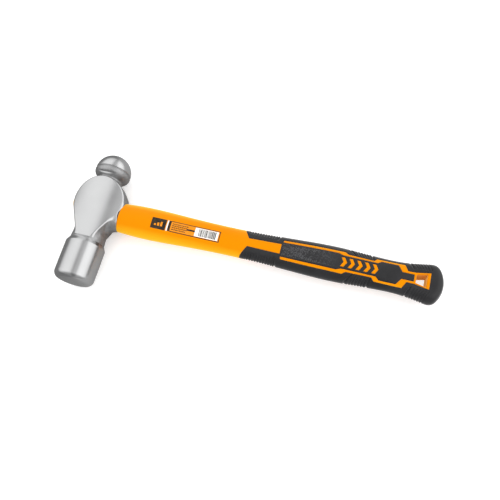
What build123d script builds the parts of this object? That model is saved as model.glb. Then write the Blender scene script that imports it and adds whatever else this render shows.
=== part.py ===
"""Ball peen hammer with a fibreglass handle, lying on its side.

The handle runs along +X, the head is at the low-X end, the poll (striking face)
points to -Y, the ball to +Y, and the cheeks of the head face +Z and -Z.

Every solid is drawn about the centre of the eye, where the handle's axis crosses
the strike axis, and is moved to the row's origin at the very end. The row's
origin is the bottom centre of the whole hammer's box.
"""

import os
from math import asin, cos, sin, sqrt

from build123d import *

# ---------------------------------------------------------------- head, mm
POLL_R = 18.8            # radius of the cylindrical poll
POLL_FACE = 72.8         # eye centre to the crown of the striking face
CROWN_R = 12.6           # radius where the crown runs into the edge rounding
CROWN_DROP = 0.8         # how far the crown falls to that radius
POLL_EDGE = 65.6         # eye centre to the start of the face's edge rounding
POLL_BACK = 35.7         # eye centre to the poll's rear edge
SHOULDER_R = 16.4        # radius at the foot of the poll's rear chamfer
SHOULDER_Y = 31.5        # eye centre to the foot of that chamfer

BOSS_R = 25.4            # radius of the round end of the eye boss
BOSS_Y = 9.4             # its centre, towards the ball
BOSS_NECK_HALF = 7.7     # half width of the boss where it meets the poll
BOSS_NECK_Y = 31.0       # distance of that end from the eye centre
BOSS_DRAFT = 4.0         # forging draft of the boss's sides, degrees

CHEEK_HALF = 14.6        # half thickness of the head between its cheeks
CHEEK_R = 55.0           # the cheeks are this gently convex across the head
CHEEK_START = -29.9      # the cheeks are ground from here ...
CHEEK_END = 38.5         # ... to here along the strike axis

BALL_TOP = 62.0          # eye centre to the tip of the ball
BALL_RIM = (17.3, 45.4)  # radius and place where the ground dome starts
BALL_STEP = (16.8, 44.8)   # shallow groove under its rim
BALL_WIDE = (17.4, 43.0)   # the forged ball is widest here ...
BALL_UNDER = (15.6, 38.4)  # ... and rounds in through here ...
BALL_NECK_R = 11.8       # ... to the neck between boss and ball
BALL_NECK_Y = 35.0
INNER_R = 15.4           # radius of the turned body inside the boss ...
INNER_Y = 19.0           # ... up to this far on both sides of the eye

EYE_MID = (10.9, 8.1)    # half width (Y) and half height (Z) of the eye's waist
EYE_MOUTH = (12.2, 9.2)  # the same just outside both mouths ...
EYE_END = 28.2           # ... this far from the waist
LAND_X = 24.2            # flat land that the handle's sleeve stands on
LAND = (15.0, 10.6)      # half width and half height of the land
LAND_FOOT = (20.0, 13.2)   # the same where it flares into the boss ...
LAND_FOOT_X = 6.0        # ... at this distance
RECESS = 0.6             # the resin stands this far below the steel

# ---------------------------------------------------------------- handle, mm
CORE = (9.4, 6.6)        # half width and half height of the fibreglass rod
CORE_END = 272.0
SEAL_X = 19.7            # the seal ring fills the eye from here to the land
SKIN = 2.4               # thickness of the rubber over the sleeve
SLEEVE_END = 318.7       # end of the sleeve inside the rubber butt
BUTT_X = 329.0           # tip of the convex butt end
BUTT_CORNER = 3.0        # its rounded edge

# half width of the handle at distances from the eye
WIDTHS = [
    (24.2, 14.6),
    (45.0, 15.7),
    (89.0, 14.7),
    (150.0, 13.8),
    (193.0, 15.4),
    (233.0, 16.5),
    (274.0, 14.9),
    (296.0, 15.5),
    (310.0, 17.7),
    (320.3, 19.3),
]
OVAL = 0.69              # height of the handle's oval section over its width
PALM_HALF = 9.0          # half thickness of the flattened faces around the hang hole
PALM_X = 290.0           # those flats run from here to the butt ...
PALM_SLOPE = 0.12        # ... and rise at this slope towards the head

# ---------------------------------------------------------------- plan of the grip
WEDGE = (145.0, 13.6)    # the rubber starts here on the handle's edges
TONGUE_X = 151.0         # the orange tongue starts here
TONGUE_END = 181.8
TONGUE_HALF = (4.0, 4.8)

LINE_OUTER = [           # outer edge of the upper orange line and of the hole's frame
    (183.0, 9.3),
    (211.0, 10.2),
    (239.5, 10.5),
    (242.6, 8.4),
    (265.7, 8.0),
    (268.0, 10.7),
    (292.8, 11.0),
    (296.1, 5.2),
    (303.0, 5.4),
    (316.0, 7.8),
]
LINE_INNER = [           # inner edge, up to where the rubber panel's narrow end stops
    (182.6, 7.0),
    (211.0, 7.6),
    (233.5, 7.9),
    (238.0, 6.3),
    (269.0, 6.3),
    (272.3, 8.9),
    (287.2, 8.9),
    (291.3, 3.2),
    (302.0, 3.2),
]

HOLE_X = (304.0, 313.2)  # hang hole, a trapezoid that widens towards the butt
HOLE_HALF = (3.7, 5.9)

MARK_COUNT = 5           # row of chevrons
MARK_START = 236.5
MARK_PITCH = 7.0
MARK_W = 3.4
MARK_POINT = 2.6
MARK_HALF = 4.5

# grooves across the handle's two edges: distance at the edge, lean towards the butt
GROOVES = [(179.2, -0.3), (243.3, 0.9), (263.0, 0.3), (297.0, 0.5)]
GROOVE_EDGE_Y = 15.5     # the distance is measured here ...
GROOVE_IN_Y = 8.8        # ... and the groove stops here
GROOVE_W = 1.7
GROOVE_DEPTH = 0.9

LABEL_X = (57.8, 124.5)  # printed film label on the front of the sleeve
LABEL_HALF = 5.3
LABEL_Y = -1.4
LABEL_T = 0.3

REACH = 40.0             # longer than anything it has to cut through
ORIGIN = Vector((BUTT_X - BOSS_R) / 2, (BALL_TOP - POLL_FACE) / 2, -POLL_R)


def prism(sketch):
    """The plan of a feature, carried through the whole thickness."""
    return extrude(sketch, amount=REACH, both=True)


def block(x0, x1, y0, y1):
    """A tall box between two distances along X and two along Y."""
    return Pos((x0 + x1) / 2, (y0 + y1) / 2, 0) * Box(x1 - x0, y1 - y0, 2 * REACH)


def oval(x, half_width, half_height):
    return Plane.YZ.offset(x) * Ellipse(half_width, half_height)


def oval_bar(x0, x1, half_width, half_height):
    return extrude(oval(x0, half_width, half_height), amount=x1 - x0)


# ---------------------------------------------------------------- head


def cap_arc(edge_r, edge_y, tip_y):
    """Profile of a spherical cap from its rim to its tip on the strike axis."""
    height = tip_y - edge_y
    radius = (edge_r**2 + height**2) / (2 * height)
    half_angle = asin(edge_r / radius) / 2
    middle = (radius * sin(half_angle), tip_y - radius * (1 - cos(half_angle)))
    return ThreePointArc((edge_r, edge_y), middle, (0, tip_y))


def turned_body():
    """Poll, neck and ball, which share the strike axis."""
    crown = cap_arc(CROWN_R, CROWN_DROP - POLL_FACE, -POLL_FACE)
    rounding = TangentArc(crown @ 0, (POLL_R, -POLL_EDGE), tangent=-(crown % 0))
    waist = Polyline(
        (POLL_R, -POLL_EDGE),
        (POLL_R, -POLL_BACK),
        (SHOULDER_R, -SHOULDER_Y),
        (INNER_R, -INNER_Y),
        (BALL_NECK_R, INNER_Y),
        (BALL_NECK_R, BALL_NECK_Y),
    )
    under = ThreePointArc(waist @ 1, BALL_UNDER, BALL_WIDE)
    step = Polyline(BALL_WIDE, BALL_STEP, BALL_RIM)
    dome = cap_arc(*BALL_RIM, BALL_TOP)
    axis = Line((0, BALL_TOP), (0, -POLL_FACE))
    profile = make_face([crown, rounding, waist, under, step, dome, axis])
    return revolve(profile, Axis.Y)


def boss_outline(grow=0.0):
    """Teardrop around the eye: a round end towards the ball, straight flanks."""
    radius = BOSS_R + grow
    neck = BOSS_NECK_HALF + grow
    drop = BOSS_NECK_Y + BOSS_Y
    reach = sqrt(drop**2 + neck**2 - radius**2)
    apart = drop**2 + neck**2
    touch_x = radius * (radius * neck + drop * reach) / apart
    touch_y = BOSS_Y + radius * (neck * reach - radius * drop) / apart
    flank = Line((neck, -BOSS_NECK_Y), (touch_x, touch_y))
    arc_end = Vector(BALL_NECK_R, BOSS_Y + sqrt(radius**2 - BALL_NECK_R**2))
    arc = ThreePointArc(flank @ 1, (radius, BOSS_Y), arc_end)
    half = make_face([flank, arc, Polyline(arc @ 1, (0, arc_end.Y), (0, -BOSS_NECK_Y), flank @ 0)])
    return half + mirror(half, Plane.YZ)


def boss():
    """The eye boss with forging draft from the parting line to both cheeks."""
    upper = extrude(boss_outline(), amount=CHEEK_HALF + 1, taper=BOSS_DRAFT)
    land = loft([oval(LAND_FOOT_X, *LAND_FOOT), oval(LAND_X, *LAND)])
    return upper + mirror(upper, Plane.XY) + land


def cheek_tool():
    """All the steel outside the two gently convex cheeks."""
    length = CHEEK_END - CHEEK_START
    middle = (CHEEK_END + CHEEK_START) / 2
    roll = Rot(90, 0, 0) * Cylinder(CHEEK_R, 2 * length)
    between = Pos(0, 0, CHEEK_HALF - CHEEK_R) * roll & Pos(0, 0, CHEEK_R - CHEEK_HALF) * roll
    return Pos(0, middle, 0) * (Box(2 * REACH, length, 2 * REACH) - between)


def eye_hole():
    """Hourglass hole: widest at both mouths, so the cured resin can't pull out."""
    waist = oval(0, *EYE_MID)
    top = loft([oval(-EYE_END, *EYE_MOUTH), waist])
    bottom = loft([waist, oval(EYE_END, *EYE_MOUTH)])
    return top + bottom


def eye_filling(x0, x1, recess):
    """The part of the eye between two distances, up to recess below the steel."""
    inside = prism(boss_outline(grow=-recess)) + block(0, LAND_X, -REACH, REACH)
    return eye_hole() & inside & block(x0, x1, -REACH, REACH)


def hammer_head():
    return turned_body() + boss() - cheek_tool() - eye_hole()


# ---------------------------------------------------------------- handle


def cap_line(rim, tip_x):
    """Profile of the rounded butt: a tight corner, then a shallow dome."""
    rim_x, rim_r = rim
    corner = (rim_x + BUTT_CORNER, rim_r - BUTT_CORNER)
    bulge = (rim_x + 0.7 * BUTT_CORNER, rim_r - 0.3 * BUTT_CORNER)
    height = tip_x - corner[0]
    radius = (corner[1] ** 2 + height**2) / (2 * height)
    half_angle = asin(corner[1] / radius) / 2
    middle = (tip_x - radius * (1 - cos(half_angle)), radius * sin(half_angle))
    return [ThreePointArc(rim, bulge, corner), ThreePointArc(corner, middle, (tip_x, 0))]


def palm_cut(half):
    """What the flats around the hang hole take off both faces of the handle."""
    flat = [(BUTT_X + 1, half), (PALM_X, half), (PALM_X - REACH, half + PALM_SLOPE * REACH)]
    above = [(PALM_X - REACH, REACH), (BUTT_X + 1, REACH)]
    profile = make_face(Polyline(*flat, *above, close=True))
    upper = extrude(Plane.XZ * profile, amount=REACH, both=True)
    return upper + mirror(upper, Plane.XY)


def handle_outer(inset=0.0):
    """The handle's oval outer shape, or a copy of it that lies deeper by inset."""
    points = [(x, half - inset) for x, half in WIDTHS]
    edge = Spline(*points)
    dome = cap_line(points[-1], BUTT_X - inset)
    rest = Polyline((BUTT_X - inset, 0), (points[0][0], 0), points[0])
    turned = revolve(make_face([edge, *dome, rest]), Axis.X)
    return scale(turned, by=(1, 1, OVAL)) - palm_cut(PALM_HALF - inset)


def core_bar(start):
    return oval_bar(start, CORE_END, *CORE)


def fibreglass_core():
    """Pultruded rod from the top of the eye to just short of the hang hole."""
    top = prism(boss_outline(grow=-RECESS)) + block(0, CORE_END, -REACH, REACH)
    return core_bar(-BOSS_R) & top


def tongue_plan():
    """Sleeve left bare of rubber: everything up to the wedges, and the tongue."""
    near, far = TONGUE_HALF
    edge_x, edge_y = WEDGE
    upper = [(LAND_X, REACH), (edge_x, REACH), (edge_x, edge_y), (TONGUE_X, near), (TONGUE_END, far)]
    lower = [(x, -y) for x, y in reversed(upper)]
    return make_face(Polyline(*upper, *lower, close=True))


def line_plan():
    """The orange lines, which run into the frame around the hang hole."""
    (end_x, _), (slot_x, _) = LINE_OUTER[-1], LINE_INNER[-1]
    points = [*LINE_OUTER, (end_x, 0), (slot_x, 0), *reversed(LINE_INNER)]
    upper = make_face(Polyline(*points, close=True))
    return upper + mirror(upper, Plane.XZ)


def trapezoid(x_span, halves):
    (x0, x1), (h0, h1) = x_span, halves
    return make_face(Polyline((x0, -h0), (x1, -h1), (x1, h1), (x0, h0), close=True))


def mark_plan():
    """A row of plain chevrons between the lines."""
    plan = Sketch()
    for i in range(MARK_COUNT):
        x = MARK_START + i * MARK_PITCH
        upper = [(x, MARK_HALF), (x + MARK_W, MARK_HALF), (x + MARK_W + MARK_POINT, 0)]
        lower = [(x + MARK_W, -MARK_HALF), (x, -MARK_HALF), (x + MARK_POINT, 0)]
        plan += make_face(Polyline(*upper, *lower, close=True))
    return plan


def hang_hole():
    return prism(trapezoid(HOLE_X, HOLE_HALF))


def window_prism():
    """Everything that shows orange through the rubber."""
    return prism(tongue_plan()) + prism(line_plan()) + prism(mark_plan())


def sleeve_body():
    """The sleeve's own outside, which is what lies under the rubber."""
    return handle_outer(SKIN) & block(LAND_X, SLEEVE_END, -REACH, REACH)


def handle_sleeve():
    """Moulded sleeve over the core, with raised lines, frame, marks and tongue.
    Its end is cut to the boss, which bulges a little past the land."""
    raised = handle_outer() & window_prism()
    return sleeve_body() + raised - core_bar(0) - hang_hole() - boss()


def groove_slab(edge_x, lean):
    """A thin leaning slab across both edges of the handle."""
    inner_x = edge_x + lean * (GROOVE_EDGE_Y - GROOVE_IN_Y)
    outer_x = edge_x + lean * (GROOVE_EDGE_Y - REACH)
    half = GROOVE_W / 2
    near = [(inner_x - half, GROOVE_IN_Y), (inner_x + half, GROOVE_IN_Y)]
    far = [(outer_x + half, REACH), (outer_x - half, REACH)]
    upper = prism(make_face(Polyline(*near, *far, close=True)))
    return upper + mirror(upper, Plane.XZ)


def grip_grooves():
    """Grooves between the grip's sections, cut across both edges."""
    slabs = [groove_slab(edge_x, lean) for edge_x, lean in GROOVES]
    return Compound(slabs) - handle_outer(GROOVE_DEPTH)


def rubber_grip():
    """Soft grip moulded over the sleeve, closed at the butt."""
    return handle_outer() - window_prism() - sleeve_body() - hang_hole() - grip_grooves()


def front_label():
    """Film label wrapped over the front of the sleeve."""
    middle = (LABEL_X[0] + LABEL_X[1]) / 2
    plan = Pos(middle, LABEL_Y) * RectangleRounded(LABEL_X[1] - LABEL_X[0], 2 * LABEL_HALF, 0.8)
    film = handle_outer(-LABEL_T) - handle_outer()
    return film & extrude(plan, amount=REACH)


# ---------------------------------------------------------------- export


def export(node, solid):
    placed = Pos(-ORIGIN.X, -ORIGIN.Y, -ORIGIN.Z) * solid
    export_step(placed, f"parts/{node}.step")


def main():
    os.makedirs("parts", exist_ok=True)
    export("hammer_head", hammer_head())
    export("fibreglass_core", fibreglass_core())
    export("eye_resin", eye_filling(-REACH, SEAL_X, RECESS) - core_bar(-REACH))
    export("eye_seal", eye_filling(SEAL_X, BOSS_R, 0.0) - core_bar(-REACH))
    export("handle_sleeve", handle_sleeve())
    export("rubber_grip", rubber_grip())
    export("front_label", front_label())


main()
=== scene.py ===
"""Ball peen hammer with a fibreglass handle: the looks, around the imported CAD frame.

Every curved piece is the surface where a field, a signed distance worked out from the
design's dimensions, is zero. Dimensions are millimetres about the centre of the eye:
X runs to the butt, Y from the poll to the ball, and Z out of the front cheek.
"""

import math

import bmesh
import bpy
import numpy as np
from mathutils import Matrix, Vector


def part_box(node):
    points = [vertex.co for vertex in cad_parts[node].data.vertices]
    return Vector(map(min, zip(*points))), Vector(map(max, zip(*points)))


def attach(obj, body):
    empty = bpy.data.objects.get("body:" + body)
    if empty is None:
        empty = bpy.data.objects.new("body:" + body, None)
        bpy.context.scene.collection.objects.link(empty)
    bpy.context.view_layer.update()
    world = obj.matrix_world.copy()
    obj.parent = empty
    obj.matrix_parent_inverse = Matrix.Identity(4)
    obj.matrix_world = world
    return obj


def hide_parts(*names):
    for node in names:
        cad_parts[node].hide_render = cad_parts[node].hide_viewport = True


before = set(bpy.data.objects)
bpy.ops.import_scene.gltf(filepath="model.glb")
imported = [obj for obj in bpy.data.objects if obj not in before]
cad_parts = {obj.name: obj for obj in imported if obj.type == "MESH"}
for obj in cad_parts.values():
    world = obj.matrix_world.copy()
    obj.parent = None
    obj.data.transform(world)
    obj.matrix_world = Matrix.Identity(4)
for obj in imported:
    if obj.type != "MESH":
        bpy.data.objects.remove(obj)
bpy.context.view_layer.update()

MM = 0.001

# ---------------------------------------------------------------- head, mm
POLL_R = 18.8
POLL_FACE = 72.8
CROWN = (12.6, 72.0)  # radius and distance where the crown meets the edge rounding
POLL_EDGE = 65.6
POLL_BACK = 35.7
SHOULDER = (16.4, 31.5)
BOSS_R = 25.4
BOSS_Y = 9.4
BOSS_NECK = (7.7, 31.0)
BOSS_DRAFT = math.radians(4.0)
CHEEK_HALF = 14.6
CHEEK_R = 55.0
CHEEK_SPAN = (-29.9, 38.5)
BALL_TOP = 62.0
BALL_RIM = (17.3, 45.4)
DOME_R = (BALL_RIM[0] ** 2 + (BALL_TOP - BALL_RIM[1]) ** 2) / (2 * (BALL_TOP - BALL_RIM[1]))
DOME_Y = BALL_TOP - DOME_R
BALL_STEP = (16.6, 44.75)
BALL_UNDER = [(11.8, 33.6), (12.1, 35.2), (13.8, 36.6), (15.8, 38.5), (17.1, 40.8), (17.4, 43.2)]
LAND_X = 24.2
LAND = (14.8, 10.4)
LAND_FLARE = (4.6, 2.4)  # how much wider and higher the land is at its foot
LAND_FOOT = 6.0
EYE = ((0.0, 10.9, 8.1), (28.2, 12.2, 9.2))  # distance from the middle, half width, half height

# ---------------------------------------------------------------- handle, mm
WIDTHS = [
    (24.2, 14.6), (45.0, 15.7), (89.0, 14.7), (150.0, 13.8), (193.0, 15.4),
    (233.0, 16.5), (274.0, 14.9), (296.0, 15.5), (310.0, 17.7), (320.3, 19.3),
]  # fmt: skip
OVAL = 0.69
PALM_HALF = 9.0
PALM_X = 290.0
PALM_SLOPE = 0.12
BUTT_X = 329.0
BUTT_DOME = 26.2
BUTT_ROUND = 4.0
SKIN = 2.4
CORE = (9.4, 6.6)
CORE_END = 272.0
SLEEVE_END = 318.7
WEDGE = (145.0, 13.6)
TONGUE = [(151.0, 4.0), (181.8, 4.8)]
LINE_OUTER = [
    (183.0, 9.3), (211.0, 10.2), (239.5, 10.5), (242.6, 8.4), (265.7, 8.0),
    (268.0, 10.7), (292.8, 11.0), (296.1, 5.2), (303.0, 5.4), (316.0, 7.8),
]  # fmt: skip
LINE_INNER = [
    (182.6, 7.0), (211.0, 7.6), (233.5, 7.9), (238.0, 6.3), (269.0, 6.3),
    (272.3, 8.9), (287.2, 8.9), (291.3, 3.2), (302.0, 3.2),
]  # fmt: skip
HOLE = [(304.0, 3.7), (313.2, 5.9)]
MARKS = [236.5 + 7.0 * i for i in range(5)]
MARK = (3.4, 2.6, 4.5)  # width, point and half height of a chevron
GROOVES = [(179.2, -0.3), (243.3, 0.9), (263.0, 0.3), (297.0, 0.5)]
EDGE_Y = 15.5
SIDE_Y = 8.8
RIB_RUNS = [(151.0, 176.4, 0.0), (247.0, 259.8, 0.5), (300.6, 314.4, 0.5)]
RIB_PITCH = 2.55
RIB_DEPTH = 0.62
KNURL_X = (182.5, 212.0, 236.0)  # the knurling starts, begins to fade, and is gone
KNURL = 2.4  # pitch along each axis
KNURL_DEPTH = 0.07  # a quarter of the grooves' full depth
WINDOW_SUNK = 0.22  # the raised orange stands this far below the rubber
GAP = 0.05  # kept between the sleeve and its neighbours
HOLE_ROUND = 1.8  # how softly the hang hole's edges are rounded
HOLE_LIP = 0.2  # the rubber stays this far back from the hole's walls

LABEL_X = (57.8, 124.5)
LABEL_Y = (-6.7, 3.9)

head_lo, head_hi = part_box("hammer_head")
ORIGIN = Vector(
    (
        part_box("rubber_grip")[1].x - BUTT_X * MM,
        head_lo.y + POLL_FACE * MM,
        (head_lo.z + head_hi.z) / 2,
    )
)


# ---------------------------------------------------------------- fields


def either(a, b, soft):
    """Union of two solids, with the corner between them filled."""
    blend = np.maximum(soft - np.abs(a - b), 0.0)
    return np.minimum(a, b) - blend * blend / (4 * soft)


def both(a, b, soft):
    """Common part of two solids, with the edge between them rounded."""
    return -either(-a, -b, soft)


def step_up(value, start, end):
    """0 before start, 1 after end, and smooth between."""
    t = np.clip((value - start) / (end - start), 0.0, 1.0)
    return t * t * (3 - 2 * t)


def polygon(u, v, points):
    """Signed distance in a plane to a closed polygon."""
    best = np.full(np.broadcast(u, v).shape, 1e9)
    inside = np.zeros(best.shape, bool)
    for (u0, v0), (u1, v1) in zip(points, points[1:] + points[:1]):
        du, dv = u1 - u0, v1 - v0
        along = np.clip(((u - u0) * du + (v - v0) * dv) / (du * du + dv * dv), 0, 1)
        best = np.minimum(best, (u - u0 - along * du) ** 2 + (v - v0 - along * dv) ** 2)
        if dv:
            inside ^= ((v0 <= v) != (v1 <= v)) & (u < u0 + (v - v0) * du / dv)
    return np.where(inside, -1, 1) * np.sqrt(best)


class Plan:
    """A field of the plane, worked out once on a fine grid and read back smoothly."""

    def __init__(self, function, low, high, step):
        self.low, self.step = low, step
        u, v = (np.arange(a, b, step) for a, b in zip(low, high))
        self.values = function(u[:, None], v[None, :])

    def __call__(self, u, v):
        (nu, nv), (u0, v0) = self.values.shape, self.low
        s = np.clip((u - u0) / self.step, 0, nu - 1.001)
        t = np.clip((v - v0) / self.step, 0, nv - 1.001)
        i, j = s.astype(int), t.astype(int)
        s, t = s - i, t - j
        near = self.values[i, j] * (1 - t) + self.values[i, j + 1] * t
        far = self.values[i + 1, j] * (1 - t) + self.values[i + 1, j + 1] * t
        return near * (1 - s) + far * s


def oval(y, z, half_y, half_z):
    """Nearly the distance to an ellipse, and exact where it is zero."""
    reach = np.sqrt((y / half_y) ** 2 + (z / half_z) ** 2) + 1e-9
    slope = np.sqrt((y / half_y**2) ** 2 + (z / half_z**2) ** 2) / reach + 1e-9
    return (reach - 1) / slope


def arc_points(centre, radius, start, end, count):
    """Points along an arc, with angles in radians from the first axis."""
    angles = np.linspace(start, end, count)
    return [(centre[0] + radius * math.cos(a), centre[1] + radius * math.sin(a)) for a in angles]


# ---------------------------------------------------------------- head


def smooth_line(points, count):
    """A Catmull-Rom curve through a few points."""
    p = np.array([points[0], *points, points[-1]], float)
    curve = []
    for a, b, c, d in zip(p, p[1:], p[2:], p[3:]):
        for t in np.linspace(0, 1, count, endpoint=False):
            curve.append(
                tuple(
                    0.5
                    * (2 * b + (c - a) * t + (2 * a - 5 * b + 4 * c - d) * t**2
                       + (3 * b - a - 3 * c + d) * t**3)
                )
            )
    return [*curve, tuple(p[-1])]


def turned_profile():
    """Half outline of poll, neck and ball: radius against place on the strike axis."""
    crown_r, crown_y = CROWN
    drop = POLL_FACE - crown_y
    big = (crown_r**2 + drop**2) / (2 * drop)
    half = math.asin(crown_r / big)
    crown = arc_points((0, -POLL_FACE + big), big, -math.pi / 2, -math.pi / 2 + half, 30)
    quarter = np.linspace(0, math.pi / 2, 40)
    edge = [
        (
            crown_r + (POLL_R - crown_r) * math.sin(a),
            -POLL_EDGE - (crown_y - POLL_EDGE) * math.cos(a),
        )
        for a in quarter
    ]
    shoulder_r, shoulder_y = SHOULDER
    waist = [(POLL_R, -POLL_BACK), (shoulder_r, -shoulder_y), (15.4, -19.0)]
    under = smooth_line(BALL_UNDER, 12)
    start = math.asin((BALL_RIM[1] - DOME_Y) / DOME_R)
    dome = arc_points((0, DOME_Y), DOME_R, start, math.pi / 2, 90)
    closing = [(-6.0, BALL_TOP), (-6.0, -POLL_FACE)]
    return [*crown, *edge[1:], *waist, (12.0, 19.0), *under, BALL_STEP, *dome, *closing]


def turned_field(x, y, z):
    """The turned body; the ground dome and the poll's rounded edge are exact curves."""
    r = np.sqrt(x * x + z * z)
    crown_r, crown_y = CROWN
    dome = np.hypot(r, y - DOME_Y) - DOME_R
    past_r, past_y = np.maximum(r - crown_r, 0), np.maximum(-POLL_EDGE - y, 0)
    edge = oval(past_r, past_y, POLL_R - crown_r, crown_y - POLL_EDGE)
    field = np.where(y > BALL_RIM[1], dome, turned_plan(r, y))
    return np.where((r > crown_r) & (y < -POLL_EDGE), edge, field)


def boss_outline():
    """Teardrop around the eye: a round end towards the ball, straight flanks."""
    half, near = BOSS_NECK
    drop = near + BOSS_Y
    reach = math.sqrt(drop**2 + half**2 - BOSS_R**2)
    apart = drop**2 + half**2
    touch_x = BOSS_R * (BOSS_R * half + drop * reach) / apart
    touch_y = BOSS_R * (half * reach - BOSS_R * drop) / apart
    start = math.atan2(touch_y, touch_x)
    right = [(half, -near), *arc_points((0, BOSS_Y), BOSS_R, start, math.pi / 2, 160)]
    return right + [(-x, y) for x, y in reversed(right)]


turned_plan = Plan(lambda r, y: polygon(r, y, turned_profile()), (-1, -76), (32, 66), 0.12)
boss_plan = Plan(lambda x, y: polygon(x, y, boss_outline()), (-30, -38), (30, 40), 0.2)


def eye_field(x, y, z):
    """The hourglass hole that the handle's rod is glued into."""
    (_, mid_y, mid_z), (mouth_x, mouth_y, mouth_z) = EYE
    t = np.abs(x) / mouth_x
    return oval(y, z, mid_y + (mouth_y - mid_y) * t, mid_z + (mouth_z - mid_z) * t)


def cheek_field(x, z):
    """Distance outside the two gently convex cheeks."""
    return np.sqrt(x * x + (np.abs(z) + CHEEK_R - CHEEK_HALF) ** 2) - CHEEK_R


def forging_field(x, y, z):
    """The forging without its eye: turned poll and ball, tapered boss, ground cheeks."""
    side = (boss_plan(x, y) + np.abs(z) * math.tan(BOSS_DRAFT)) * math.cos(BOSS_DRAFT)
    body = either(turned_field(x, y, z), side, 2.6)
    flare = np.clip((LAND_X - x) / (LAND_X - LAND_FOOT), 0, 1)
    land = oval(y, z, LAND[0] + LAND_FLARE[0] * flare, LAND[1] + LAND_FLARE[1] * flare)
    land = both(land, np.abs(x - LAND_X / 2) - LAND_X / 2, 0.8)
    start, end = CHEEK_SPAN
    outside = np.abs(y - (start + end) / 2) - (end - start) / 2
    ground = either(cheek_field(x, z), -outside, 0.8)
    return both(either(body, land, 3.0), ground, 1.3)


def head_field(x, y, z):
    """The forging with its eye."""
    return both(forging_field(x, y, z), -eye_field(x, y, z), 1.0)


def polished(x, y, z):
    """1 where the forging has been ground bright, 0 on its rough sides."""
    start, end = CHEEK_SPAN
    cheek = step_up(cheek_field(x, z), -1.1, -0.6) * step_up(y, start, start + 0.3)
    cheek = cheek * (1 - step_up(y, end - 0.3, end))
    poll = 1 - step_up(y, -SHOULDER[1] - 0.8, -SHOULDER[1] - 0.2)
    return np.clip(cheek + poll + step_up(y, BALL_RIM[1] - 0.5, BALL_RIM[1] + 0.1), 0, 1)


# ---------------------------------------------------------------- handle


def natural_spline(points, at):
    """A natural cubic spline through points, read at many places."""
    x, y = np.array(points, float).T
    h = np.diff(x)
    n = len(x)
    system, right = np.eye(n), np.zeros(n)
    for i in range(1, n - 1):
        system[i, i - 1 : i + 2] = h[i - 1], 2 * (h[i - 1] + h[i]), h[i]
        right[i] = 6 * ((y[i + 1] - y[i]) / h[i] - (y[i] - y[i - 1]) / h[i - 1])
    bend = np.linalg.solve(system, right)
    k = np.clip(np.searchsorted(x, at) - 1, 0, n - 2)
    a, b = x[k + 1] - at, at - x[k]
    return (
        (bend[k] * a**3 + bend[k + 1] * b**3) / (6 * h[k])
        + (y[k] / h[k] - bend[k] * h[k] / 6) * a
        + (y[k + 1] / h[k] - bend[k + 1] * h[k] / 6) * b
    )


STATIONS = np.arange(20.0, 335.0, 0.25)
HALVES = natural_spline(WIDTHS, np.clip(STATIONS, WIDTHS[0][0], WIDTHS[-1][0]))


def half_width(x):
    """Half the handle's width at a distance from the eye."""
    return np.interp(x, STATIONS, HALVES)


def outer_field(x, y, z, inset=0.0):
    """The handle's oval outside, or a copy that lies deeper by inset."""
    half = half_width(x) - inset
    side = oval(y, z, half, half_width(x) * OVAL - inset)
    palm = np.abs(z) - (PALM_HALF - inset) - PALM_SLOPE * np.maximum(PALM_X - x, 0)
    turned = np.sqrt(y * y + (z / OVAL) ** 2)
    past = np.maximum(x - (BUTT_X - BUTT_DOME), 0)
    dome = np.sqrt(past**2 + turned**2) - BUTT_DOME + inset
    return both(both(side, palm, 1.5), dome, BUTT_ROUND)


def window_values(x, y):
    """Distance, on the upper half of the plan, to whatever shows orange."""
    edge_x, edge_y = WEDGE
    bare = [(10, -40), (10, 40), (edge_x, 40), (edge_x, edge_y), *TONGUE]
    bare += [(u, -v) for u, v in reversed(TONGUE)] + [(edge_x, -edge_y), (edge_x, -40)]
    line = [*LINE_OUTER, (LINE_OUTER[-1][0], -1), (LINE_INNER[-1][0], -1), *reversed(LINE_INNER)]
    best = np.minimum(polygon(x, y, bare), polygon(x, y, line))
    width, point, half = MARK
    for start in MARKS:
        tip = start + point
        chevron = [(start, half), (start + width, half), (tip + width, 0)]
        chevron += [(start + width, -half), (start, -half), (tip, 0)]
        best = np.minimum(best, polygon(x, y, chevron))
    return best


window_plan = Plan(window_values, (18, 0), (332, 24), 0.15)
hole_plan = Plan(
    lambda x, y: polygon(x, y, [*HOLE, (HOLE[1][0], -9), (HOLE[0][0], -9)]),
    (296, 0),
    (322, 14),
    0.1,
)


def hole_field(x, y):
    """The hang hole's walls; far from it the field only has to be large."""
    near = np.clip(x, 297, 321)
    return hole_plan(near, np.minimum(np.abs(y), 13)) + np.abs(x - near)


def sleeve_field(x, y, z):
    """The orange sleeve: bare to the wedges, raised through windows further on."""
    sunk = WINDOW_SUNK * step_up(x, 146.0, 152.0)
    window = window_plan(x, np.abs(y))
    raised = both(outer_field(x, y, z, sunk), window + GAP, 0.5)
    under = both(outer_field(x, y, z, SKIN), x - SLEEVE_END, 0.5)
    whole = np.minimum(raised, under)
    whole = both(whole, LAND_X + GAP - x, 0.6)
    whole = both(whole, GAP - forging_field(x, y, z), 0.4)
    bore = np.maximum(oval(y, z, *CORE) - GAP, x - CORE_END)
    whole = both(whole, -hole_field(x, y), HOLE_ROUND)
    return np.maximum(whole, -bore)


def groove_depth(x, y):
    """How deep the grooves between the sections are at a place on the plan."""
    side = np.abs(y)
    depth = 0.0
    for edge_x, lean in GROOVES:
        away = np.abs(x - edge_x - lean * (EDGE_Y - side))
        depth = np.maximum(depth, 1 - step_up(away, 0.35, 1.15))
    return depth * step_up(side, SIDE_Y - 1.2, SIDE_Y + 0.4)


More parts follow.
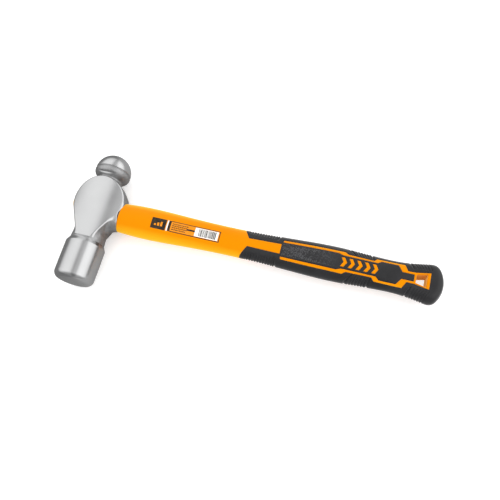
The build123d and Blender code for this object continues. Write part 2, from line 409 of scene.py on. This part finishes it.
def rib_depth(x, y):
    """The same for the fine ribs that run over the handle's two edges."""
    side = np.abs(y)
    depth = 0.0
    for start, end, lean in RIB_RUNS:
        place = x - lean * (EDGE_Y - side)
        wave = np.cos(2 * np.pi * (place - start) / RIB_PITCH)
        run = step_up(place, start - 0.6, start + 0.2) * (1 - step_up(place, end - 0.2, end + 0.6))
        depth = depth + run * (RIB_DEPTH * step_up(wave, -0.35, 0.55))
    return depth * step_up(side, SIDE_Y, SIDE_Y + 1.4)


def knurl_depth(x, y):
    """Crossed grooves on the palm panel, which fade out towards the marks."""
    start, fade, end = KNURL_X
    waves = np.cos(2 * np.pi * (x + y) / KNURL) + np.cos(2 * np.pi * (x - y) / KNURL)
    reach = step_up(x, start, start + 1.5) * (1 - step_up(x, fade, end))
    return reach * (1 - step_up(np.abs(y), 5.6, 6.6)) * KNURL_DEPTH * (2 - waves)


def grip_field(x, y, z):
    """The rubber grip: a skin over the sleeve with windows, grooves, ribs and knurling."""
    relief = groove_depth(x, y) + rib_depth(x, y) + knurl_depth(x, y)
    outside = outer_field(x, y, z) + relief
    window = window_plan(x, np.abs(y))
    body = both(outside, -window, 0.8)
    inside = both(outer_field(x, y, z, SKIN), x - SLEEVE_END, 0.5)
    body = np.maximum(body, -inside)
    return both(body, HOLE_LIP - hole_field(x, y), HOLE_ROUND)


# ---------------------------------------------------------------- meshing


def ticks(*runs):
    """Grid lines from (start, step) runs and a last place."""
    lines = []
    for (start, step), (end, _) in zip(runs, runs[1:]):
        count = max(1, round((end - start) / step))
        lines.extend(np.linspace(start, end, count, endpoint=False))
    return np.array([*lines, runs[-1][0]])


def zero_surface(field, axes):
    """Points and quads of the closed surface where a field is zero: one point in
    every grid cell that the surface crosses, one quad round every crossed edge."""
    value = field(*np.meshgrid(*axes, indexing="ij", sparse=True))
    inside = value < 0
    stride = np.array([value.shape[1] * value.shape[2], value.shape[2], 1])
    rings, crossings = [], []
    for a in range(3):
        b, c = (a + 1) % 3, (a + 2) % 3
        near, far = [slice(None)] * 3, [slice(None)] * 3
        near[a], far[a] = slice(0, -1), slice(1, None)
        edge = np.argwhere(inside[tuple(near)] != inside[tuple(far)])
        after = edge.copy()
        after[:, a] += 1
        v0, v1 = value[tuple(edge.T)], value[tuple(after.T)]
        place = np.stack([axes[i][edge[:, i]] for i in range(3)], 1)
        place[:, a] += v0 / (v0 - v1) * (axes[a][after[:, a]] - axes[a][edge[:, a]])
        cell = edge @ stride
        left, down = stride[b], stride[c]
        ring = np.stack([cell, cell - left, cell - left - down, cell - down], 1)
        ring[v0 > 0] = ring[v0 > 0][:, ::-1]
        rings.append(ring)
        crossings.append(place)
    cells, corner = np.unique(np.concatenate(rings), return_inverse=True)
    quads = corner.reshape(-1, 4)
    place = np.repeat(np.concatenate(crossings), 4, axis=0)
    count = np.bincount(quads.ravel(), minlength=len(cells))
    points = np.stack([np.bincount(quads.ravel(), place[:, i]) for i in range(3)], 1)
    return points / count[:, None], quads


def settle(points, field, rounds=3, reach=0.25, probe=0.04):
    """Moves points along the field's slope onto the exact surface."""
    for _ in range(rounds):
        value = field(*points.T)
        slope = np.empty_like(points)
        for i in range(3):
            shift = np.zeros(3)
            shift[i] = probe
            slope[:, i] = field(*(points + shift).T) - field(*(points - shift).T)
        slope /= 2 * probe
        size = np.maximum((slope**2).sum(1), 0.2)
        move = -(value / size)[:, None] * slope
        length = np.linalg.norm(move, axis=1, keepdims=True) + 1e-12
        points = points + move * np.minimum(1.0, reach / length)
    return points


def mesh_object(name, points, faces, slot, *nodes):
    """A smooth-shaded piece from points in millimetres about the eye."""
    mesh = bpy.data.meshes.new(name)
    mesh.from_pydata((points * MM + np.array(ORIGIN)).tolist(), [], faces.tolist())
    mesh.polygons.foreach_set("use_smooth", np.ones(len(mesh.polygons), bool))
    mesh.update()
    piece = bpy.data.objects.new(name, mesh)
    bpy.context.scene.collection.objects.link(piece)
    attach(piece, "root")
    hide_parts(*nodes)
    return piece


def paint(piece, name, field):
    """Keeps a field's value at each of a piece's points, for its material to read."""
    places = np.empty(3 * len(piece.data.vertices))
    piece.data.vertices.foreach_get("co", places)
    places = (places.reshape(-1, 3) - np.array(ORIGIN)) / MM
    values = piece.data.attributes.new(name=name, type="FLOAT", domain="POINT")
    values.data.foreach_set("value", field(*places.T))


WELD = 0.02  # points closer than this are joined


def field_piece(name, field, axes, slot, node):
    """The piece a field bounds, with near-equal points joined and every face outward."""
    points, quads = zero_surface(field, axes)
    piece = mesh_object(name, settle(points, field), quads, slot, node)
    shell = bmesh.new()
    shell.from_mesh(piece.data)
    bmesh.ops.remove_doubles(shell, verts=shell.verts, dist=WELD * MM)
    bmesh.ops.recalc_face_normals(shell, faces=shell.faces)
    shell.to_mesh(piece.data)
    shell.free()
    return piece


head = field_piece(
    "forged_head",
    head_field,
    [
        ticks((-26.6, 0.5), (26.8, 0)),
        ticks((-74.2, 0.5), (42.0, 0.25), (46.5, 0.5), (63.6, 0)),
        ticks((-19.9, 0.5), (19.9, 0)),
    ],
    "forged_steel",
    "hammer_head",
)
paint(head, "ground", polished)
sleeve = field_piece(
    "moulded_sleeve",
    sleeve_field,
    [
        ticks((23.7, 0.4), (27.3, 1.2), (142.0, 0.45), (320.2, 0)),
        ticks((-17.0, 0.7), (-13.0, 0.45), (13.0, 0.7), (17.0, 0)),
        ticks((-12.2, 0.45), (-4.5, 0.9), (4.5, 0.45), (12.2, 0)),
    ],
    "sleeve_orange",
    "handle_sleeve",
)
grip = field_piece(
    "ribbed_grip",
    grip_field,
    [
        ticks((143.6, 0.42), (330.2, 0)),
        ticks((-20.4, 0.8), (-12.6, 0.42), (12.6, 0.8), (20.4, 0)),
        ticks((-13.4, 0.42), (-5.0, 0.84), (5.0, 0.42), (13.4, 0)),
    ],
    "grip_rubber",
    "rubber_grip",
)


# ---------------------------------------------------------------- label

INK = (0.010, 0.009, 0.008)
PAPER = (0.86, 0.86, 0.84)
STOCK = (0.72, 0.232, 0.0006)
LABEL_RAISE = 0.16
LABEL_SUNK = 0.1  # the film's underside lies this far inside the sleeve


def label_prints():
    """Printed areas as (x0, x1, y0, y1, colour), in fractions of the film; later wins."""
    prints = [
        (0.0, 0.215, 0.0, 1.0, INK),
        (0.228, 0.246, 0.02, 0.98, PAPER),
        (0.248, 0.285, 0.02, 0.98, INK),
        (0.285, 1.0, 0.0, 0.07, INK),
        (0.285, 1.0, 0.93, 1.0, INK),
        (0.988, 1.0, 0.0, 1.0, INK),
        (0.52, 0.645, 0.42, 0.58, INK),
        (0.64, 0.975, 0.10, 0.90, PAPER),
    ]
    # a plain mark of three bars on the dark block
    for i in range(3):
        prints.append((0.045 + 0.045 * i, 0.075 + 0.045 * i, 0.28, 0.45 + 0.12 * i, STOCK))
    # rows of short dashes where small print would be
    dashes = np.random.default_rng(4)
    for row in range(4):
        at = 0.305
        while at < 0.51:
            length = dashes.uniform(0.010, 0.028)
            low = 0.19 + 0.17 * row
            prints.append((at, at + length, low, low + 0.09, (0.07, 0.03, 0.005)))
            at += length + 0.006
    # plain vertical bars, which stand for no number
    at = 0.695
    while at < 0.945:
        width = dashes.choice([0.006, 0.010, 0.016])
        prints.append((at, at + width, 0.16, 0.84, (0.06, 0.06, 0.065)))
        at += width + dashes.choice([0.005, 0.008])
    return prints


def filled(marks, start, end, widest):
    """Grid lines through every mark, with more between where they lie far apart."""
    marks = sorted({round(float(m), 5) for m in marks} | {start, end})
    lines = [start]
    for a, b in zip(marks, marks[1:]):
        lines.extend(np.linspace(a, b, max(1, math.ceil((b - a) / widest)) + 1)[1:])
    return np.array(lines)


def label_piece():
    """A thin film on the sleeve's curve, its print held as face colours."""
    prints = label_prints()
    us = filled([p[i] for p in prints for i in (0, 1)], 0.0, 1.0, 0.02)
    vs = filled([p[i] for p in prints for i in (2, 3)], 0.0, 1.0, 0.06)
    (x0, x1), (y0, y1) = LABEL_X, LABEL_Y
    x = (x0 + (x1 - x0) * us)[:, None] + 0 * vs[None, :]
    y = (y0 + (y1 - y0) * vs)[None, :] + 0 * us[:, None]
    rim = np.minimum(np.minimum(x - x0, x1 - x), np.minimum(y - y0, y1 - y))
    half = half_width(x)

    def layer(raise_by):
        high = (half + raise_by) * np.sqrt(1 - (y / (half + raise_by)) ** 2) * OVAL
        return np.stack([x, y, high], -1).reshape(-1, 3)

    top = layer(0.0)
    top[:, 2] += LABEL_RAISE * np.clip(rim / 0.12, 0.5, 1.0).ravel()
    bottom = layer(0.0)
    bottom[:, 2] -= LABEL_SUNK
    nu, nv = len(us), len(vs)
    cell = (np.arange(nu - 1)[:, None] * nv + np.arange(nv - 1)[None, :]).ravel()
    upper = np.stack([cell, cell + nv, cell + nv + 1, cell + 1], 1)
    lower = upper[:, ::-1] + nu * nv
    rim_loop = [i * nv for i in range(nu)]
    rim_loop += [(nu - 1) * nv + j for j in range(1, nv)]
    rim_loop += [i * nv + nv - 1 for i in range(nu - 2, -1, -1)]
    rim_loop += [j for j in range(nv - 2, 0, -1)]
    loop = np.array(rim_loop)
    after = np.roll(loop, -1)
    sides = np.stack([loop, loop + nu * nv, after + nu * nv, after], 1)
    faces = np.concatenate([upper, lower, sides])
    points = np.concatenate([top, bottom])
    film = mesh_object("printed_film", points, faces, "label_film", "front_label")
    colours = np.tile(np.array([*STOCK, 1.0]), (len(faces), 1))
    cu = ((us[1:] + us[:-1]) / 2)[:, None] + 0 * vs[None, 1:]
    cv = ((vs[1:] + vs[:-1]) / 2)[None, :] + 0 * us[1:, None]
    cu, cv = cu.ravel(), cv.ravel()
    for a, b, c, d, colour in prints:
        hit = np.flatnonzero((cu > a) & (cu < b) & (cv > c) & (cv < d))
        colours[hit, :3] = colour
    ink = film.data.color_attributes.new(name="print", type="FLOAT_COLOR", domain="CORNER")
    ink.data.foreach_set("color", np.repeat(colours, 4, axis=0).ravel())
    return film


label = label_piece()
# neither the steel nor any other glossy surface mirrors these two
for bright in (sleeve, label):
    bright.visible_glossy = False

# ---------------------------------------------------------------- materials


class Look:
    """A material's node tree around one Principled shader."""

    def __init__(self, name, **constants):
        self.material = bpy.data.materials.new(name)
        self.material.use_nodes = True
        self.nodes = self.material.node_tree.nodes
        self.links = self.material.node_tree.links
        self.shader = self.nodes["Principled BSDF"]
        for socket, value in constants.items():
            self.shader.inputs[socket.replace("_", " ")].default_value = value
        coordinates = self.nodes.new("ShaderNodeTexCoord")
        self.place = coordinates.outputs["Object"]

    def stretched(self, scale):
        node = self.nodes.new("ShaderNodeMapping")
        node.inputs["Scale"].default_value = scale
        self.links.new(self.place, node.inputs["Vector"])
        return node.outputs["Vector"]

    def stored(self, name):
        """A value kept at the piece's points."""
        node = self.nodes.new("ShaderNodeAttribute")
        node.attribute_name = name
        return node.outputs["Fac"]

    def noise(self, scale, detail=3.0, stretch=(1, 1, 1), roughness=0.55):
        node = self.nodes.new("ShaderNodeTexNoise")
        node.inputs["Scale"].default_value = scale
        node.inputs["Detail"].default_value = detail
        node.inputs["Roughness"].default_value = roughness
        self.links.new(self.stretched(stretch), node.inputs["Vector"])
        return node.outputs["Fac"]

    def dots(self, scale, randomness=1.0):
        node = self.nodes.new("ShaderNodeTexVoronoi")
        node.inputs["Scale"].default_value = scale
        node.inputs["Randomness"].default_value = randomness
        self.links.new(self.place, node.inputs["Vector"])
        return node.outputs["Distance"]

    def remap(self, value, start, end, low, high):
        node = self.nodes.new("ShaderNodeMapRange")
        sockets = ("From Min", "From Max", "To Min", "To Max")
        for socket, number in zip(sockets, (start, end, low, high)):
            node.inputs[socket].default_value = number
        self.links.new(value, node.inputs["Value"])
        return node.outputs["Result"]

    def math(self, kind, a, b=0.0):
        node = self.nodes.new("ShaderNodeMath")
        node.operation = kind
        for socket, value in zip(node.inputs, (a, b)):
            if isinstance(value, (int, float)):
                socket.default_value = value
            else:
                self.links.new(value, socket)
        return node.outputs["Value"]

    def axis(self, name):
        node = self.nodes.new("ShaderNodeSeparateXYZ")
        self.links.new(self.place, node.inputs["Vector"])
        return node.outputs[name]

    def mix(self, factor, low, high):
        """Mix two colours; either may be a colour value or another node's output."""
        node = self.nodes.new("ShaderNodeMix")
        node.data_type = "RGBA"
        self.links.new(factor, node.inputs["Factor"])
        for socket, value in zip((node.inputs[6], node.inputs[7]), (low, high)):
            if isinstance(value, tuple):
                socket.default_value = (*value, 1.0)
            else:
                self.links.new(value, socket)
        return node.outputs[2]

    def to(self, socket, output):
        self.links.new(output, self.shader.inputs[socket])

    def bump(self, height, strength, distance, under=None):
        node = self.nodes.new("ShaderNodeBump")
        node.inputs["Strength"].default_value = strength
        node.inputs["Distance"].default_value = distance
        self.links.new(height, node.inputs["Height"])
        if under is not None:
            self.links.new(under, node.inputs["Normal"])
        return node.outputs["Normal"]

    def on(self, piece):
        """Puts the material on a piece's every slot."""
        if not piece.material_slots:
            piece.data.materials.append(self.material)
        for slot in piece.material_slots:
            slot.material = self.material


def steel_look():
    """Bright where the forging is ground, dull and grainy on its rough sides."""
    look = Look("forged_steel", Metallic=1.0)
    ground = look.stored("ground")
    cloud = look.noise(60, 4)
    grain = look.noise(900, 2)
    scale = look.noise(420, 5)
    lines = look.noise(260, 3, stretch=(12, 0.6, 12))
    clouds = look.remap(cloud, 0.3, 0.7, 0, 1)
    bright = look.mix(clouds, (0.52, 0.523, 0.526), (0.55, 0.552, 0.555))
    patches = look.remap(scale, 0.3, 0.7, 0, 1)
    dull = look.mix(patches, (0.33, 0.332, 0.335), (0.46, 0.46, 0.462))
    look.to("Base Color", look.mix(ground, dull, bright))
    fine = look.remap(grain, 0.3, 0.7, -0.02, 0.02)
    rougher = look.remap(ground, 0, 1, 0.26, 0)
    satin = look.math("MULTIPLY", rougher, look.remap(scale, 0.3, 0.7, 0.8, 1.2))
    shine = look.math("ADD", look.remap(cloud, 0.25, 0.75, 0.18, 0.24), fine)
    look.to("Roughness", look.math("ADD", shine, satin))
    pits = look.math("MULTIPLY", scale, look.remap(ground, 0, 1, 1, 0))
    look.to("Normal", look.bump(pits, 0.5, 0.0002, look.bump(lines, 0.05, 0.00005)))
    return look


def sleeve_look():
    """Matt orange plastic, with a painted yellow sheen towards both sides."""
    look = Look(
        "orange_plastic",
        Specular_IOR_Level=0.0,
        Sheen_Weight=1.0,
        Sheen_Roughness=0.4,
        Sheen_Tint=(1.0, 0.85, 0.3, 1.0),
    )
    cloud = look.noise(35, 3)
    grain = look.noise(1400, 2)
    clouds = look.remap(cloud, 0.3, 0.7, 0, 1)
    side = look.math("ABSOLUTE", look.math("SUBTRACT", look.axis("Y"), ORIGIN.y))
    # painted sheen: the base colour turns a lighter yellow towards both sides, where they catch
    # the light
    edge = look.remap(side, 9.0 * MM, 15.0 * MM, 0, 1)
    middle = look.mix(clouds, (0.71, 0.218, 0.0002), (0.73, 0.229, 0.0004))
    look.to("Base Color", look.mix(edge, middle, (0.74, 0.37, 0.008)))
    look.to("Roughness", look.remap(cloud, 0.3, 0.7, 0.30, 0.42))
    look.to("Normal", look.bump(grain, 0.12, 0.00005))
    return look


def rubber_look():
    """Black rubber with a paler, speckled knurled panel."""
    look = Look("soft_rubber", Specular_IOR_Level=0.35, Sheen_Weight=0.5, Sheen_Roughness=0.35)
    cloud = look.noise(45, 3)
    grain = look.noise(1700, 3)
    speck = look.dots(900, 0.6)
    x, y = look.axis("X"), look.axis("Y")
    start, fade, end = (ORIGIN.x + place * MM for place in KNURL_X)
    begins, fades = look.remap(x, start, start + MM, 0, 1), look.remap(x, fade, end, 1, 0)
    panel = look.math("MULTIPLY", begins, fades)
    side = look.math("ABSOLUTE", look.math("SUBTRACT", y, ORIGIN.y))
    panel = look.math("MULTIPLY", panel, look.remap(side, 5.8 * MM, 6.4 * MM, 1, 0))
    clouds = look.remap(cloud, 0.3, 0.7, 0, 1)
    plain = look.mix(clouds, (0.009, 0.009, 0.010), (0.015, 0.015, 0.017))
    # the knurled panel is flecked with paler grey specks, which fade out with the knurling
    mottle = look.math("MULTIPLY", panel, look.remap(speck, 0.25, 0.5, 1, 0))
    look.to("Base Color", look.mix(mottle, plain, (0.075, 0.075, 0.08)))
    look.to("Roughness", look.remap(cloud, 0.3, 0.7, 0.40, 0.54))
    look.to("Normal", look.bump(grain, 0.35, 0.00008))
    return look


def label_look():
    """Printed film, with its colours read from the faces."""
    look = Look("label_print", Specular_IOR_Level=0.12)
    ink = look.nodes.new("ShaderNodeAttribute")
    ink.attribute_name = "print"
    cloud = look.noise(300, 3)
    mottle = look.remap(cloud, 0.3, 0.7, 0.0, 0.05)
    look.to("Base Color", look.mix(mottle, ink.outputs["Color"], (0.9, 0.6, 0.3)))
    look.to("Roughness", look.remap(cloud, 0.3, 0.7, 0.28, 0.38))
    look.to("Normal", look.bump(look.noise(900, 2), 0.05, 0.00004))
    return look


def core_look():
    """Glass fibres that run along the rod."""
    look = Look("glass_fibre_rod", Coat_Weight=0.2)
    specks = look.noise(2600, 2, stretch=(0.05, 1, 1))
    strands = look.remap(specks, 0.35, 0.65, 0, 1)
    look.to("Base Color", look.mix(strands, (0.62, 0.52, 0.30), (0.86, 0.82, 0.64)))
    look.to("Roughness", look.remap(specks, 0.3, 0.7, 0.35, 0.55))
    look.to("Normal", look.bump(specks, 0.3, 0.0001))
    return look


def resin_look():
    """Cloudy amber resin."""
    look = Look("cured_resin", Coat_Weight=0.5, Coat_Roughness=0.1)
    cloud = look.noise(220, 4)
    clouds = look.remap(cloud, 0.3, 0.7, 0, 1)
    look.to("Base Color", look.mix(clouds, (0.40, 0.25, 0.07), (0.60, 0.42, 0.16)))
    look.to("Roughness", look.remap(cloud, 0.3, 0.7, 0.18, 0.34))
    look.to("Normal", look.bump(look.noise(160, 2), 0.3, 0.0003))
    return look


def seal_look():
    """Dull dark rubber."""
    look = Look("seal_rubber", Specular_IOR_Level=0.35)
    cloud = look.noise(300, 3)
    look.to("Base Color", look.mix(cloud, (0.03, 0.03, 0.03), (0.06, 0.06, 0.06)))
    look.to("Roughness", look.remap(cloud, 0.3, 0.7, 0.6, 0.75))
    look.to("Normal", look.bump(look.noise(1500, 2), 0.3, 0.0001))
    return look


steel_look().on(head)
sleeve_look().on(sleeve)
rubber_look().on(grip)
label_look().on(label)
core_look().on(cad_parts["fibreglass_core"])
resin_look().on(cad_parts["eye_resin"])
seal_look().on(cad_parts["eye_seal"])

# ---------------------------------------------------------------- studio

FLOOR_GLOW = 0.35  # light that the floor gives off by itself
FLOOR_HALF, FLOOR_LINES = 3.0, 25  # half its size in metres, and grid lines each way


def floor_piece():
    """A large flat pale floor under the hammer, which glossy rays see darker."""
    count = FLOOR_LINES
    mesh = bpy.data.meshes.new("floor")
    line = np.linspace(-FLOOR_HALF, FLOOR_HALF, count)
    points = [(x, y, 0.0) for x in line for y in line]
    faces = [
        (i * count + j, (i + 1) * count + j, (i + 1) * count + j + 1, i * count + j + 1)
        for i in range(count - 1)
        for j in range(count - 1)
    ]
    mesh.from_pydata(points, [], faces)
    piece = bpy.data.objects.new("floor", mesh)
    bpy.context.scene.collection.objects.link(piece)
    look = Look("pale_floor", Specular_IOR_Level=0.2, Emission_Color=(1, 1, 1, 1))
    cloud = look.noise(3, 2)
    mirrored = look.nodes.new("ShaderNodeLightPath").outputs["Is Glossy Ray"]
    pale = look.mix(look.remap(cloud, 0.3, 0.7, 0, 1), (0.80, 0.80, 0.80), (0.82, 0.82, 0.82))
    # painted dark reflection: glossy rays see the floor dark, darkest left of the head, so the
    # steel mirrors shade there
    beside = look.remap(look.axis("X"), ORIGIN.x - 0.03, ORIGIN.x + 0.02, 0, 1)
    dark = look.mix(beside, (0.18, 0.18, 0.18), (0.40, 0.40, 0.40))
    look.to("Base Color", look.mix(mirrored, pale, dark))
    # the floor gives off a little light, which glossy rays leave out
    look.to("Emission Strength", look.remap(mirrored, 0, 1, FLOOR_GLOW, 0))
    look.to("Roughness", look.remap(cloud, 0.3, 0.7, 0.8, 0.9))
    look.on(piece)


# brightness of the studio round the strike axis, in degrees from straight up towards the butt
STUDIO = [
    (-180, 0.6), (-125, 0.5), (-108, 0.25), (-97, 0.25), (-86, 0.38), (-76, 0.85), (-64, 1.15),
    (-50, 1.29), (-36, 1.34), (-21, 1.34), (-12, 1.28), (-5, 1.1), (1, 0.76), (6, 0.58),
    (11, 0.64), (17, 0.78), (24, 0.78), (30, 1.1), (36, 1.5), (44, 1.6), (56, 1.6), (70, 1.5),
    (78, 1.35), (86, 0.9), (96, 0.4), (118, 0.35), (140, 0.5), (180, 0.6),
]  # fmt: skip
# the same along the strike axis, from the poll's side (-1) to the ball's (1), as a share
STUDIO_ALONG = [
    (-1, 0.3), (-0.8, 0.35), (-0.5, 0.7), (-0.35, 1),
    (0.4, 1), (0.75, 1), (0.93, 0.75), (1, 0.3),
]  # fmt: skip
LAMPS = [((0.05, 0.25, 1.3), 2.4, 9.8), ((0.05, -1.2, 0.45), 1.4, 10.0)]  # place, size, watts


def curve_of(nodes, links, value, low, points):
    """A smooth curve through points, read at a value between low and -low."""
    scaled = nodes.new("ShaderNodeMapRange")
    scaled.inputs["From Min"].default_value = low
    scaled.inputs["From Max"].default_value = -low
    node = nodes.new("ShaderNodeFloatCurve")
    links.new(value, scaled.inputs["Value"])
    links.new(scaled.outputs["Result"], node.inputs["Value"])
    curve = node.mapping.curves[0]
    curve.points[0].location = points[0]
    curve.points[1].location = points[-1]
    for point in points[1:-1]:
        curve.points.new(*point)
    node.mapping.update()
    return node.outputs["Value"]


def studio_light():
    """Long soft strips parallel to the strike axis, as one smooth gradient."""
    world = bpy.data.worlds.new("studio")
    bpy.context.scene.world = world
    world.use_nodes = True
    nodes, links = world.node_tree.nodes, world.node_tree.links
    background = nodes["Background"]
    place = nodes.new("ShaderNodeTexCoord")
    parts = nodes.new("ShaderNodeSeparateXYZ")
    angle = nodes.new("ShaderNodeMath")
    angle.operation = "ARCTAN2"
    links.new(place.outputs["Generated"], parts.inputs[0])
    links.new(parts.outputs["X"], angle.inputs[0])
    links.new(parts.outputs["Z"], angle.inputs[1])
    around = [((a + 180) / 360, value / 2) for a, value in STUDIO]
    along = [((y + 1) / 2, value) for y, value in STUDIO_ALONG]
    strength = nodes.new("ShaderNodeMath")
    strength.operation = "MULTIPLY"
    links.new(curve_of(nodes, links, angle.outputs[0], -math.pi, around), strength.inputs[0])
    links.new(curve_of(nodes, links, parts.outputs["Y"], -1.0, along), strength.inputs[1])
    doubled = nodes.new("ShaderNodeMath")
    doubled.operation = "MULTIPLY"
    doubled.inputs[1].default_value = 2.0
    links.new(strength.outputs[0], doubled.inputs[0])
    # seen directly, the studio is a plain pale wall
    seen = nodes.new("ShaderNodeMix")
    links.new(nodes.new("ShaderNodeLightPath").outputs["Is Camera Ray"], seen.inputs["Factor"])
    links.new(doubled.outputs[0], seen.inputs["A"])
    seen.inputs["B"].default_value = 1.0
    links.new(seen.outputs["Result"], background.inputs["Strength"])
    background.inputs["Color"].default_value = (1, 1, 1, 1)


def fill_lamp(place, size, power):
    """A large soft lamp that points at the hammer, and that no glossy surface mirrors."""
    data = bpy.data.lights.new("fill", "AREA")
    data.size = size
    data.energy = power
    lamp = bpy.data.objects.new("fill", data)
    lamp.location = place
    lamp.rotation_euler = Vector(place).to_track_quat("Z", "Y").to_euler()
    lamp.visible_glossy = False
    bpy.context.scene.collection.objects.link(lamp)


# camera: place about the eye in mm, and turns that take the object's axes to the lens's
CAMERA_AT = (231.8, -178.6, 491.5)
CAMERA_TURN = (-0.3373, -0.1583, -0.2677)
CAMERA_FOCAL = 568.63 / 500  # focal length over the picture's width
SENSOR = 36.0


def photo_camera():
    """The camera that the photograph's outlines were fitted to."""
    data = bpy.data.cameras.new("camera")
    data.sensor_width = SENSOR
    data.lens = CAMERA_FOCAL * SENSOR
    data.clip_start = 0.01
    camera = bpy.data.objects.new("camera", data)
    about_x, about_y, about_z = CAMERA_TURN
    turn = Matrix.Rotation(about_z, 3, "Z") @ Matrix.Rotation(about_x, 3, "X")
    turn = turn @ Matrix.Rotation(about_y, 3, "Y")
    pose = turn.transposed().to_4x4()
    pose.translation = ORIGIN + Vector(CAMERA_AT) * MM
    camera.matrix_world = pose
    bpy.context.scene.collection.objects.link(camera)
    bpy.context.scene.camera = camera


floor_piece()
studio_light()
for lamp in LAMPS:
    fill_lamp(*lamp)
photo_camera()
bpy.context.scene.view_settings.view_transform = "Standard"
